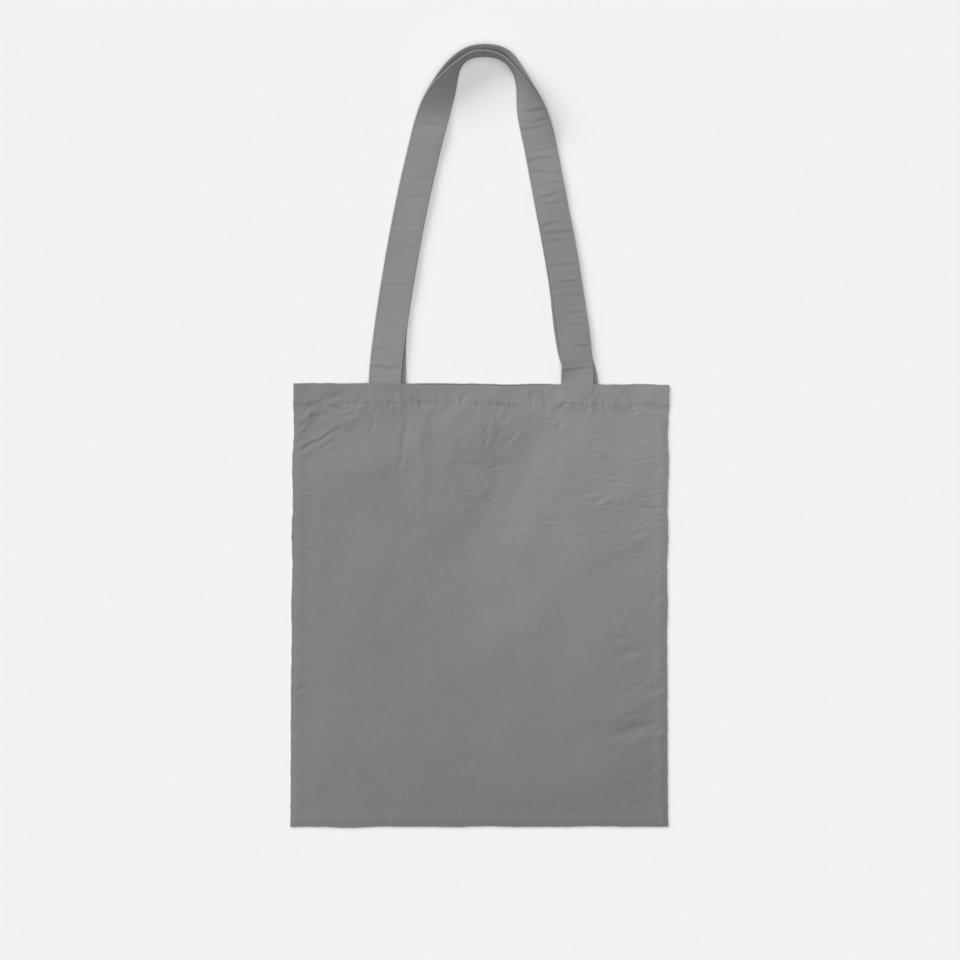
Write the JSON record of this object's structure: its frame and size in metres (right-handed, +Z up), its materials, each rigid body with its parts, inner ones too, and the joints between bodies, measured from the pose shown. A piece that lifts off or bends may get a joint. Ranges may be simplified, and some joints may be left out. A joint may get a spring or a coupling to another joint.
{
  "type": "cloth tote bag",
  "caption": "Flat rectangular cloth tote bag with an open mouth, a turned hem and two long straps sewn inside the mouth, lying flat with its straps laid out.",
  "frame": {"origin": "centre of the front panel's outer face, on the surface that the bag lies on", "axes": "+Y from the bottom seam to the mouth and the straps, +X to the right with the back panel facing the viewer, +Z up out of the back panel"},
  "size_m": [0.35, 0.7238, 0.0301],
  "materials": {
    "panel_cloth": "matte plain weave",
    "strap_cloth": "matte plain weave",
    "thread": "matte sewing thread"
  },
  "bodies": {
    "front_side": {"front_panel": "panel_cloth", "front_strap_left_end": "strap_cloth", "front_strap_right_end": "strap_cloth", "front_hem_thread": "thread", "left_seam_thread": "thread", "right_seam_thread": "thread", "bottom_seam_thread": "thread", "left_overlock_thread": "thread", "right_overlock_thread": "thread", "bottom_overlock_thread": "thread", "front_left_tack_thread": "thread", "front_right_tack_thread": "thread"},
    "back_side": {"back_panel": "panel_cloth", "back_strap_left_end": "strap_cloth", "back_strap_right_end": "strap_cloth", "back_hem_thread": "thread", "back_left_tack_thread": "thread", "back_right_tack_thread": "thread"},
    "front_strap": {"front_strap": "strap_cloth", "front_strap_inner_thread": "thread", "front_strap_outer_thread": "thread"},
    "back_strap": {"back_strap": "strap_cloth", "back_strap_inner_thread": "thread", "back_strap_outer_thread": "thread"}
  },
  "joints": [
    {"name": "mouth_open", "type": "hinge", "parent": "front_side", "child": "back_side", "pos_m": [0, -0.205, 0.002], "axis": [1, 0, 0], "range_deg": [0, 5]},
    {"name": "back_strap_swing", "type": "hinge", "parent": "back_side", "child": "back_strap", "pos_m": [0, 0.205, 0.008], "axis": [1, 0, 0], "range_deg": [0, 170]},
    {"name": "front_strap_swing", "type": "hinge", "parent": "front_side", "child": "front_strap", "pos_m": [0, 0.205, 0], "axis": [1, 0, 0], "range_deg": [-170, 0]}
  ]
}
